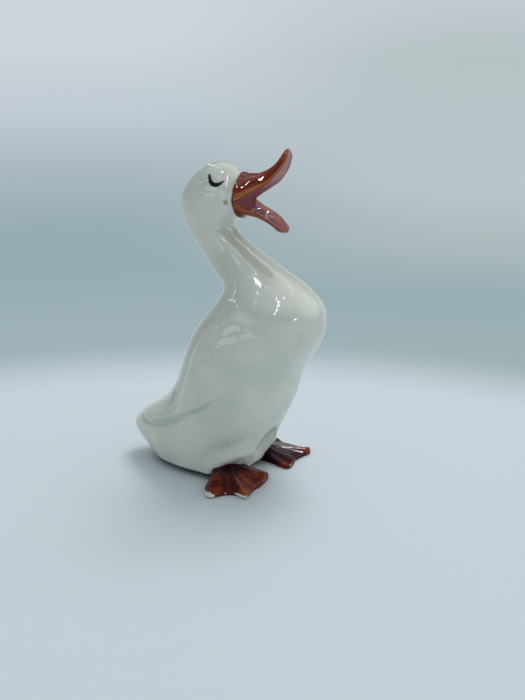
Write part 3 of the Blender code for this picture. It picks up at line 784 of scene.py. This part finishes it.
def room():
    """The world. The camera sees a wall whose tone follows the height of the ray, one way on the left and
    another on the right. The glaze mirrors the same wall, dimmer to the left, with a dark band over it, a
    bright ceiling, a glow high on the right, and a window of four panes behind the camera. The light that
    falls on the duck is one pale tone, stronger from the right."""
    world = bpy.data.worlds.new("room")
    world.use_nodes = True
    tree = world.node_tree
    background = tree.nodes["Background"]
    paint = Socket(tree, background.outputs[0])
    ray = paint.node("ShaderNodeTexCoord", {}, output="Generated")
    aside = along_way(paint, ray, RIGHTWARD)
    height = along_way(paint, ray, (0.0, 0.0, 1.0))
    left_wall, right_wall = (
        paint.node("ShaderNodeValToRGB", {0: height * 1.5 + 0.5}, stops=stops)
        for stops in (LEFT_WALL, RIGHT_WALL)
    )
    wall = aside.between(-0.16, 0.20).mix(left_wall, right_wall)
    dark = height.between(*DARK_FOOT) * height.between(*DARK_TOP) * aside.between(*DARK_SIDE)
    dimmed = aside.between(-0.9, 0.2).mix((0.25, 0.30, 0.31), wall)
    banded = dark.mix(dimmed, (0.16, 0.19, 0.20))
    ceiled = height.between(*CEILING_FOOT).mix(banded, (1.5, 1.55, 1.54))
    glowing = along_way(paint, ray, GLOW_WAY).between(*GLOW_SPREAD).mix(ceiled, (2.2, 2.2, 2.15))
    ahead = along_way(paint, ray, WINDOW_WAY)
    sideways = along_way(paint, ray, WINDOW_SIDE) / ahead
    upward = height / ahead
    panes = ahead.between(0.05, 0.06) * abs(sideways).between(*WINDOW_EDGE)
    panes = panes * abs(sideways).between(*WINDOW_BAR)
    panes = panes * upward.between(*WINDOW_FOOT) * upward.between(*WINDOW_TOP)
    panes = panes * abs(upward - WINDOW_BAR_HEIGHT).between(*WINDOW_BAR)
    windowed = panes.mix(glowing, (2.0, 2.08, 2.06))
    falling = aside.between(-1.0, 1.0).mix((0.40, 0.435, 0.435), (0.59, 0.64, 0.63))
    seen, mirror = (
        paint.node("ShaderNodeLightPath", {}, output=kind) for kind in ("Is Camera Ray", "Is Glossy Ray")
    )
    colour = seen.mix(mirror.mix(falling, windowed), wall)
    tree.links.new(colour.link, background.inputs["Color"])
    bpy.context.scene.world = world


room()


# The light: a wide soft box high over the floor beyond the duck, which lights it but isn't mirrored in it,
# and the seams and panes of a white tent round it, as narrow strips that the glaze mirrors and that light
# nothing. The beak and the far foot mirror strips of their own.
CEILING = 1300.0
DUCK_MIDDLE = np.array((20.0, 0.0, 110.0))


def lamp(name, start, end, breadth, radiance):
    """Rectangular lamp from one place to another, facing the duck. Its places are steps to the right and
    away, in ceiling heights, and up in millimetres. Power is pi times radiance times area."""
    start, end = (
        CEILING * (right * RIGHTWARD + away * AWAY) + (0.0, 0.0, up) for right, away, up in (start, end)
    )
    middle, run = (start + end) / 2, end - start
    back = (middle - DUCK_MIDDLE) / np.linalg.norm(middle - DUCK_MIDDLE)
    run = run - back * (run @ back)
    length = np.linalg.norm(run)
    light = bpy.data.lights.new(name, "AREA")
    light.shape = "RECTANGLE"
    light.size, light.size_y = length * MM, breadth * MM
    light.energy = np.pi * radiance * length * breadth * MM * MM
    made = bpy.data.objects.new(name, light)
    axes = np.column_stack([run / length, np.cross(back, run / length), back])
    made.matrix_world = Matrix.Translation(middle * MM) @ Matrix(axes.tolist()).to_4x4()
    bpy.context.scene.collection.objects.link(made)
    return made


def strips(name, breadth, radiance, route, mirrored_by=None):
    """Lamps end to end along a route over the ceiling, given as steps to the right and away. They light
    nothing and are only mirrored, by every piece or by the one that is named."""
    receivers = None
    if mirrored_by:
        receivers = bpy.data.collections.new(name)
        receivers.objects.link(bpy.data.objects[mirrored_by])
    for number, (start, end) in enumerate(zip(route[:-1], route[1:])):
        strip = lamp(f"{name}_{number}", (*start, CEILING), (*end, CEILING), breadth, radiance)
        strip.visible_diffuse = False
        strip.light_linking.receiver_collection = receivers


soft_box = lamp("soft_box", (0.05, 0.92, 2600.0), (0.85, 0.92, 2400.0), 1500.0, 6.1)
soft_box.visible_glossy = False

strips("right_seam", 10.0, 6.0, ((0.60, -0.50), (0.53, 0.10), (0.49, 0.75), (0.42, 1.5), (0.60, 2.4)))
strips("left_seam", 14.0, 12.0, ((-0.22, -0.11), (-0.39, 0.34), (-0.50, 0.93), (-0.65, 2.4)))
near_seam = ((-0.50, -0.58), (-0.29, -0.39), (-0.11, -0.20), (0.06, -0.16), (0.15, -0.31))
strips("near_seam", 8.0, 14.0, near_seam)
strips("near_pane", 36.0, 22.0, ((0.15, -0.31), (0.17, -0.58), (0.06, -1.07)))
strips("near_lamp", 90.0, 26.0, ((-0.14, -0.24), (-0.09, -0.17)))
strips("neck_lamp", 60.0, 26.0, ((0.35, -0.30), (0.33, -0.24)))
strips("left_pane", 26.0, 7.0, ((-1.0, -0.40), (-1.55, 0.04), (-2.0, 0.75)))

chest_lamp = lamp("chest_lamp", (0.80, -0.93, 500.0), (0.84, -0.87, 620.0), 70.0, 140.0)
chest_lamp.visible_diffuse = False

strips("beak_seam", 24.0, 170.0, ((-0.78, -0.02), (-0.88, -0.44), (-0.72, -0.96)), "upper_beak")
strips("lip_seam", 14.0, 70.0, ((0.27, 0.86), (0.34, 1.10)), "lower_beak")
strips("foot_seam", 90.0, 160.0, ((0.32, 0.80), (0.345, 0.91)), "left_foot")


# The camera stands a little higher than the duck's head, off its right side and somewhat ahead of it. The
# focal length is given in pixels of a picture that is 700 pixels high.
CAMERA_BACK = 621.6
CAMERA_ASIDE = 38.04
CAMERA_HEIGHT = 235.0
SENSOR = 36.0
FOCAL_PIXELS = 1000.0
PICTURE_PIXELS = 700.0

camera = bpy.data.objects.new("camera", bpy.data.cameras.new("camera"))
camera.data.lens = SENSOR * FOCAL_PIXELS / PICTURE_PIXELS
camera.location = MM * (-CAMERA_BACK * AWAY + CAMERA_ASIDE * RIGHTWARD + (0.0, 0.0, CAMERA_HEIGHT))
camera.rotation_euler = (np.pi / 2 - CAMERA_TILT, 0.0, CAMERA_TURN)
bpy.context.scene.collection.objects.link(camera)
bpy.context.scene.camera = camera
bpy.context.scene.view_settings.view_transform = "Standard"
